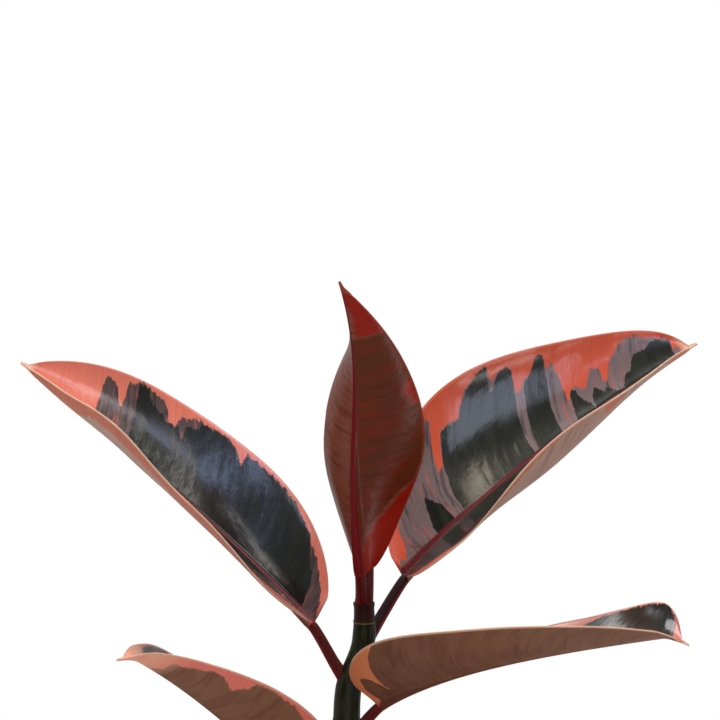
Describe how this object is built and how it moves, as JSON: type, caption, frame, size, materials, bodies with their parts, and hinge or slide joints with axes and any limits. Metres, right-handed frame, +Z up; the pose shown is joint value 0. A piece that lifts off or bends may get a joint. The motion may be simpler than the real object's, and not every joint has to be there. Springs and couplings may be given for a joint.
{
  "type": "potted rubber plant",
  "caption": "Young variegated rubber plant: an upright stem with large glossy leaves, dark green with coral-pink margins, standing in soil in a round tapered clay pot.",
  "frame": {"origin": "middle of the pot's flat underside, on the surface that the pot stands on", "axes": "+Z up along the stem; -Y is the plant's front, the side that the picture shows; +X is to the right of that view"},
  "size_m": [0.3788, 0.3283, 0.4703],
  "materials": {
    "clay": "matte unglazed clay",
    "soil": "loose dark potting mix of bark and peat",
    "stem": "smooth dark olive-green bark with pale rings",
    "sheath": "smooth satin red-brown",
    "leaf": "glossy dark green with coral-pink margins, satin brownish underside"
  },
  "bodies": {
    "root": {"pot": "clay", "soil": "soil", "stem": "stem", "bud_sheath": "sheath", "leaf_top": "leaf", "leaf_upper_right": "leaf", "leaf_upper_left": "leaf", "leaf_mid_right": "leaf", "leaf_mid_left": "leaf", "leaf_low_right": "leaf", "leaf_low_back_left": "leaf", "leaf_low_front": "leaf", "leaf_low_back_right": "leaf", "leaf_low_left": "leaf"}
  },
  "joints": []
}
